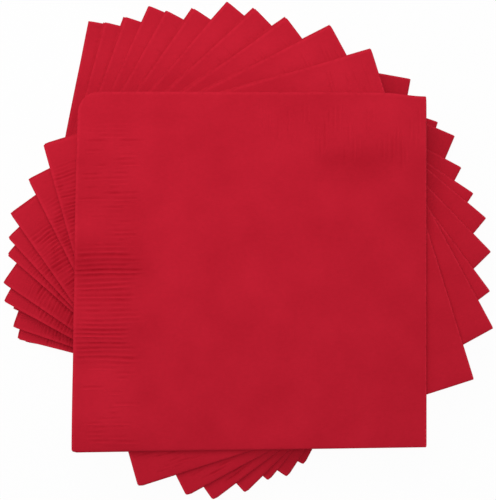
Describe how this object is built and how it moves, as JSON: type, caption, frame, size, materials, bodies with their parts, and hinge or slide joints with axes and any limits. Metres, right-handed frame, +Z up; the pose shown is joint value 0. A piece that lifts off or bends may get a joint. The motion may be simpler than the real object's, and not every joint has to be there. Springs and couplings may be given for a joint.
{
  "type": "fanned pile of folded paper napkins",
  "caption": "Loose pile of square red paper napkins, quarter-folded with an embossed border and twisted into a fan; the napkins turn on each other and the top one opens.",
  "frame": {"origin": "on the table, under the middle of the fan, on the underside of the bottom napkin", "axes": "+Z up through the pile, +X to the right and +Y to the top of the picture, square to the top napkin's edges"},
  "size_m": [0.1822, 0.1855, 0.0238],
  "materials": {
    "outer_tissue": "soft matt crepe tissue with an embossed border",
    "inner_tissue": "soft matt crepe tissue"
  },
  "bodies": {
    "napkin_01": {"napkin_01_outer_ply": "outer_tissue", "napkin_01_inner_ply": "inner_tissue"},
    "napkin_02": {"napkin_02_outer_ply": "outer_tissue", "napkin_02_inner_ply": "inner_tissue"},
    "napkin_03": {"napkin_03_outer_ply": "outer_tissue", "napkin_03_inner_ply": "inner_tissue"},
    "napkin_04": {"napkin_04_outer_ply": "outer_tissue", "napkin_04_inner_ply": "inner_tissue"},
    "napkin_05": {"napkin_05_outer_ply": "outer_tissue", "napkin_05_inner_ply": "inner_tissue"},
    "napkin_06": {"napkin_06_outer_ply": "outer_tissue", "napkin_06_inner_ply": "inner_tissue"},
    "napkin_07": {"napkin_07_outer_ply": "outer_tissue", "napkin_07_inner_ply": "inner_tissue"},
    "napkin_08": {"napkin_08_outer_ply": "outer_tissue", "napkin_08_inner_ply": "inner_tissue"},
    "napkin_09": {"napkin_09_outer_ply": "outer_tissue", "napkin_09_inner_ply": "inner_tissue"},
    "napkin_10": {"napkin_10_outer_ply": "outer_tissue", "napkin_10_inner_ply": "inner_tissue"},
    "napkin_11": {"napkin_11_outer_ply": "outer_tissue", "napkin_11_inner_ply": "inner_tissue"},
    "napkin_12_base": {"napkin_12_base_outer_ply": "outer_tissue", "napkin_12_base_inner_ply": "inner_tissue"},
    "napkin_12_flap": {"napkin_12_flap_outer_ply": "outer_tissue", "napkin_12_flap_inner_ply": "inner_tissue"}
  },
  "joints": [
    {"name": "napkin_02_turn", "type": "hinge", "parent": "napkin_01", "child": "napkin_02", "pos_m": [-0.07, -0.005, 0.002], "axis": [0, 0, -1], "range_deg": [-4, 4]},
    {"name": "napkin_03_turn", "type": "hinge", "parent": "napkin_02", "child": "napkin_03", "pos_m": [-0.03, -0.02, 0.004], "axis": [0, 0, -1], "range_deg": [-4.5, 4.5]},
    {"name": "napkin_04_turn", "type": "hinge", "parent": "napkin_03", "child": "napkin_04", "pos_m": [0.005, -0.035, 0.006], "axis": [0, 0, -1], "range_deg": [-4.5, 4.5]},
    {"name": "napkin_05_turn", "type": "hinge", "parent": "napkin_04", "child": "napkin_05", "pos_m": [-0.06, 0.01, 0.008], "axis": [0, 0, -1], "range_deg": [-5, 5]},
    {"name": "napkin_06_turn", "type": "hinge", "parent": "napkin_05", "child": "napkin_06", "pos_m": [-0.02, -0.02, 0.01], "axis": [0, 0, -1], "range_deg": [-5.5, 5.5]},
    {"name": "napkin_07_turn", "type": "hinge", "parent": "napkin_06", "child": "napkin_07", "pos_m": [0.005, -0.025, 0.012], "axis": [0, 0, -1], "range_deg": [-6.5, 6.5]},
    {"name": "napkin_08_turn", "type": "hinge", "parent": "napkin_07", "child": "napkin_08", "pos_m": [-0.03, -0.01, 0.014], "axis": [0, 0, -1], "range_deg": [-6, 6]},
    {"name": "napkin_09_turn", "type": "hinge", "parent": "napkin_08", "child": "napkin_09", "pos_m": [-0.02, -0.005, 0.016], "axis": [0, 0, -1], "range_deg": [-7.5, 7.5]},
    {"name": "napkin_10_turn", "type": "hinge", "parent": "napkin_09", "child": "napkin_10", "pos_m": [0, -0.03, 0.018], "axis": [0, 0, -1], "range_deg": [-8.5, 8.5]},
    {"name": "napkin_11_turn", "type": "hinge", "parent": "napkin_10", "child": "napkin_11", "pos_m": [-0.008, -0.002, 0.02], "axis": [0, 0, -1], "range_deg": [-11, 11]},
    {"name": "napkin_12_turn", "type": "hinge", "parent": "napkin_11", "child": "napkin_12_base", "pos_m": [-0.003, -0.005, 0.022], "axis": [0, 0, -1], "range_deg": [-17, 17]},
    {"name": "napkin_12_unfold", "type": "hinge", "parent": "napkin_12_base", "child": "napkin_12_flap", "pos_m": [0.06761, -0.0118, 0.0229], "axis": [0, 1, 0], "range_deg": [0, 180]}
  ]
}
